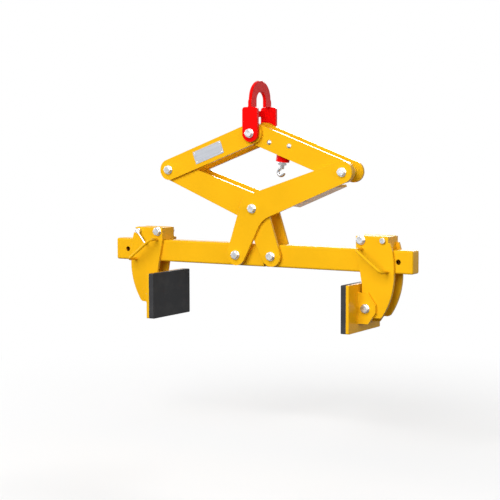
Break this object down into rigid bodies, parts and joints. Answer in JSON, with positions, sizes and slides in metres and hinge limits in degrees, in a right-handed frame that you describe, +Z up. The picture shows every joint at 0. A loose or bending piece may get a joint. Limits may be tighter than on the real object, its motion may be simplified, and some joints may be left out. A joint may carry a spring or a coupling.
{
  "type": "lifting tongs",
  "caption": "Scissor lifting tongs: a lifting eye on a folding linkage closes rubber-faced jaws that slide along a telescopic beam, with a turning latch that holds them open.",
  "frame": {"origin": "the bearing point of the lifting eye, under the middle of the bail's crown", "axes": "+X along the beam to the right as seen from the front, +Y through the plates to the rear, +Z up"},
  "size_m": [1.149, 0.225, 0.8084],
  "materials": {
    "yellow_paint": "gloss golden-yellow powder coat",
    "red_paint": "gloss signal-red powder coat",
    "zinc_steel": "bright zinc plate",
    "hook_chrome": "polished chrome plate",
    "pad_rubber": "matt dark grey rubber",
    "label_metal": "satin bare plate without print"
  },
  "bodies": {
    "bail": {"bail_ring": "red_paint", "bail_plate_front": "red_paint", "bail_plate_rear": "red_paint", "bail_cross_bar": "red_paint"},
    "left_link": {"left_link_front": "yellow_paint", "left_link_rear": "yellow_paint", "data_plate": "label_metal", "left_corner_bolt": "zinc_steel", "left_corner_nut": "zinc_steel", "left_corner_spacer": "zinc_steel", "top_bolt": "zinc_steel", "top_nut": "zinc_steel", "top_spacer": "zinc_steel", "top_washers": "zinc_steel"},
    "right_link": {"right_link_front": "yellow_paint", "right_link_rear": "yellow_paint", "link_tie": "yellow_paint", "latch_housing": "red_paint", "latch_bolts": "zinc_steel", "right_corner_spacer": "zinc_steel"},
    "latch": {"latch_hook": "hook_chrome"},
    "lever_a": {"lever_a_plate": "yellow_paint", "lever_a_rib": "yellow_paint", "lever_a_bolts": "zinc_steel", "lever_a_nuts": "zinc_steel", "centre_spacer": "zinc_steel", "left_pin_spacer": "zinc_steel", "latch_catch_plate": "yellow_paint"},
    "lever_b": {"lever_b_front": "yellow_paint", "lever_b_rear": "yellow_paint", "right_pin_bolt": "zinc_steel", "right_pin_nut": "zinc_steel", "right_pin_spacers": "zinc_steel"},
    "left_beam": {"left_beam_tube": "yellow_paint", "left_end_cap": "yellow_paint"},
    "right_beam": {"right_beam_tube": "yellow_paint", "right_end_cap": "yellow_paint", "guide_tube": "zinc_steel"},
    "left_jaw": {"left_jaw_plate_front": "yellow_paint", "left_jaw_plate_rear": "yellow_paint", "left_jaw_block": "yellow_paint", "left_jaw_spacers": "yellow_paint", "left_jaw_bolts": "zinc_steel", "left_jaw_nuts": "zinc_steel", "left_jaw_handles": "yellow_paint"},
    "left_pin": {"left_locking_pin": "zinc_steel"},
    "left_pad": {"left_pad_rubber": "pad_rubber", "left_pad_plate": "yellow_paint", "left_pad_ears": "yellow_paint"},
    "right_jaw": {"right_jaw_plate_front": "yellow_paint", "right_jaw_plate_rear": "yellow_paint", "right_jaw_block": "yellow_paint", "right_jaw_spacers": "yellow_paint", "right_jaw_bolts": "zinc_steel", "right_jaw_nuts": "zinc_steel", "right_jaw_handles": "yellow_paint"},
    "right_pin": {"right_locking_pin": "zinc_steel"},
    "right_pad": {"right_pad_rubber": "pad_rubber", "right_pad_plate": "yellow_paint", "right_pad_ears": "yellow_paint"}
  },
  "joints": [
    {"name": "swing", "type": "hinge", "parent": "bail", "child": "left_link", "pos_m": [0, 0, -0.136], "axis": [0, 1, 0], "range_deg": [-25, 25]},
    {"name": "fold", "type": "hinge", "parent": "left_link", "child": "right_link", "pos_m": [0, 0, -0.136], "axis": [0, -1, 0], "range_deg": [-3.54, 22.8]},
    {"name": "left_corner", "type": "hinge", "parent": "left_link", "child": "lever_b", "pos_m": [-0.33461, 0, -0.26044], "axis": [0, 1, 0], "range_deg": [-22.8, 3.54]},
    {"name": "right_corner", "type": "hinge", "parent": "right_link", "child": "lever_a", "pos_m": [0.33461, 0, -0.26044], "axis": [0, 1, 0], "range_deg": [-3.54, 22.8]},
    {"name": "left_beam_pin", "type": "hinge", "parent": "lever_a", "child": "left_beam", "pos_m": [-0.06506, 0, -0.54194], "axis": [0, 1, 0], "range_deg": [-11.4, 1.77]},
    {"name": "right_beam_pin", "type": "hinge", "parent": "lever_b", "child": "right_beam", "pos_m": [0.06506, 0, -0.54194], "axis": [0, 1, 0], "range_deg": [-1.77, 11.4]},
    {"name": "latch_turn", "type": "hinge", "parent": "right_link", "child": "latch", "pos_m": [0.09654, 0, -0.1719], "axis": [0.153, 0, 0.9882], "range_deg": [0, 90]},
    {"name": "left_jaw_slide", "type": "slide", "parent": "left_beam", "child": "left_jaw", "axis": [-1, 0, 0], "range_m": [-0.24, 0.05]},
    {"name": "left_pad_tilt", "type": "hinge", "parent": "left_jaw", "child": "left_pad", "pos_m": [-0.414, 0, -0.69294], "axis": [0, 1, 0], "range_deg": [-5, 5]},
    {"name": "left_pin_pull", "type": "slide", "parent": "left_jaw", "child": "left_pin", "axis": [0, -1, 0], "range_m": [0, 0.08]},
    {"name": "right_jaw_slide", "type": "slide", "parent": "right_beam", "child": "right_jaw", "axis": [1, 0, 0], "range_m": [-0.24, 0.05]},
    {"name": "right_pad_tilt", "type": "hinge", "parent": "right_jaw", "child": "right_pad", "pos_m": [0.418, 0, -0.69294], "axis": [0, 1, 0], "range_deg": [-5, 5]},
    {"name": "right_pin_pull", "type": "slide", "parent": "right_jaw", "child": "right_pin", "axis": [0, 1, 0], "range_m": [0, 0.08]}
  ],
  "couplings": [
    {"joint": "left_corner", "follows": "fold", "ratio": -1},
    {"joint": "right_corner", "follows": "fold", "ratio": 1},
    {"joint": "left_beam_pin", "follows": "fold", "ratio": -0.5},
    {"joint": "right_beam_pin", "follows": "fold", "ratio": 0.5}
  ]
}
